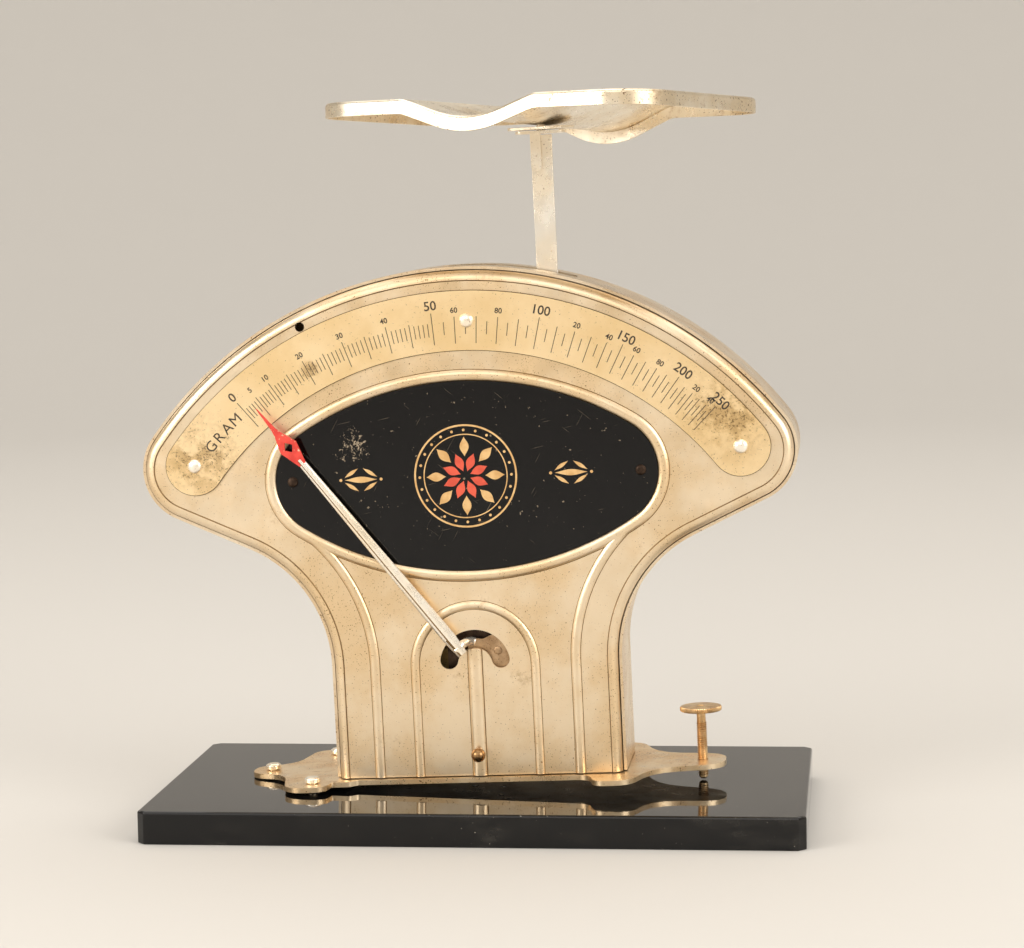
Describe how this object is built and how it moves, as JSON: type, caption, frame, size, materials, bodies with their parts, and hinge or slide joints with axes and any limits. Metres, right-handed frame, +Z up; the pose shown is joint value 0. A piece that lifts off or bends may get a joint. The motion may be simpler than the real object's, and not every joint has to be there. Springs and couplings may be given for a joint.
{
  "type": "letter scale",
  "caption": "Pendulum letter scale: fan-shaped metal case with dial and pointer, troughed letter pan on a post, foot plate with levelling screw, glass base.",
  "frame": {"origin": "centre of the glass base's underside", "axes": "+Z up, -Y towards the dial's reader, +X towards the levelling screw"},
  "size_m": [0.1834, 0.1031, 0.1996],
  "materials": {
    "nickel": "worn, yellowed nickel plate with a satin face and bright rims",
    "dial_brass": "tarnished brass sheet with fine black graduations",
    "plaque_black": "black gloss lacquer, lightly scratched",
    "black_glass": "polished black glass, dusty",
    "pointer_red": "worn red enamel on plated sheet",
    "dark_rivet": "blackened steel",
    "weight_brass": "rough cast brass, dull",
    "screw_brass": "turned and knurled brass, aged"
  },
  "bodies": {
    "base": {"glass_base": "black_glass"},
    "scale": {"foot_plate": "nickel", "front_foot": "nickel", "rear_foot": "nickel", "tip_stud": "nickel", "front_shell": "nickel", "back_case": "nickel", "dial_plate": "dial_brass", "dial_rivet_left": "nickel", "dial_rivet_top": "nickel", "dial_rivet_right": "nickel", "name_plaque": "plaque_black", "plaque_rivet_left": "dark_rivet", "plaque_rivet_right": "dark_rivet", "case_screw": "nickel", "inner_frame": "nickel", "frame_screw_left": "nickel", "frame_screw_right": "nickel", "link_pin": "nickel"},
    "beam": {"pivot_axle": "nickel", "main_lever": "nickel", "lever_rivet": "nickel", "load_arm": "nickel", "load_pin": "nickel", "counterweight_front": "weight_brass", "counterweight_rear": "weight_brass", "pointer": "pointer_red", "pointer_stub": "nickel"},
    "post": {"post": "nickel", "post_flange": "nickel", "post_pin": "nickel"},
    "check_link": {"check_link": "nickel"},
    "pan": {"pan": "nickel", "pan_saddle": "nickel", "pan_rivet": "nickel"},
    "screw_stem": {"levelling_stem": "screw_brass"},
    "screw_knob": {"levelling_knob": "screw_brass"}
  },
  "joints": [
    {"name": "level_tilt", "type": "hinge", "parent": "base", "child": "scale", "pos_m": [-0.045, 0, 0.009], "axis": [0, -1, 0], "range_deg": [-1.8, 0.8]},
    {"name": "beam_swing", "type": "hinge", "parent": "scale", "child": "beam", "pos_m": [-0.00107, 0, 0.0439], "axis": [0, 1, 0], "range_deg": [-3, 83]},
    {"name": "post_hang", "type": "hinge", "parent": "beam", "child": "post", "pos_m": [0.02101, 0, 0.05665], "axis": [0, 1, 0], "range_deg": [-83, 3]},
    {"name": "check_swing", "type": "hinge", "parent": "scale", "child": "check_link", "pos_m": [-0.00233, 0, 0.08388], "axis": [0, 1, 0], "range_deg": [-3, 83]},
    {"name": "pan_swivel", "type": "hinge", "parent": "post", "child": "pan", "pos_m": [0.01762, 0, 0.18985], "axis": [-0.0314, 0, 0.9995], "continuous": true},
    {"name": "screw_travel", "type": "slide", "parent": "scale", "child": "screw_stem", "axis": [0.0314, 0, -0.9995], "range_m": [-0.0034, 0.0015]},
    {"name": "knob_turn", "type": "hinge", "parent": "screw_stem", "child": "screw_knob", "pos_m": [0.05989, 0, 0.02991], "axis": [-0.0314, 0, 0.9995], "range_deg": [-2400, 1070]}
  ],
  "couplings": [
    {"joint": "post_hang", "follows": "beam_swing", "ratio": -1},
    {"joint": "check_swing", "follows": "beam_swing", "ratio": 1},
    {"joint": "screw_travel", "follows": "level_tilt", "m_per_rad": 0.1055},
    {"joint": "knob_turn", "follows": "level_tilt", "ratio": 1325.8}
  ]
}
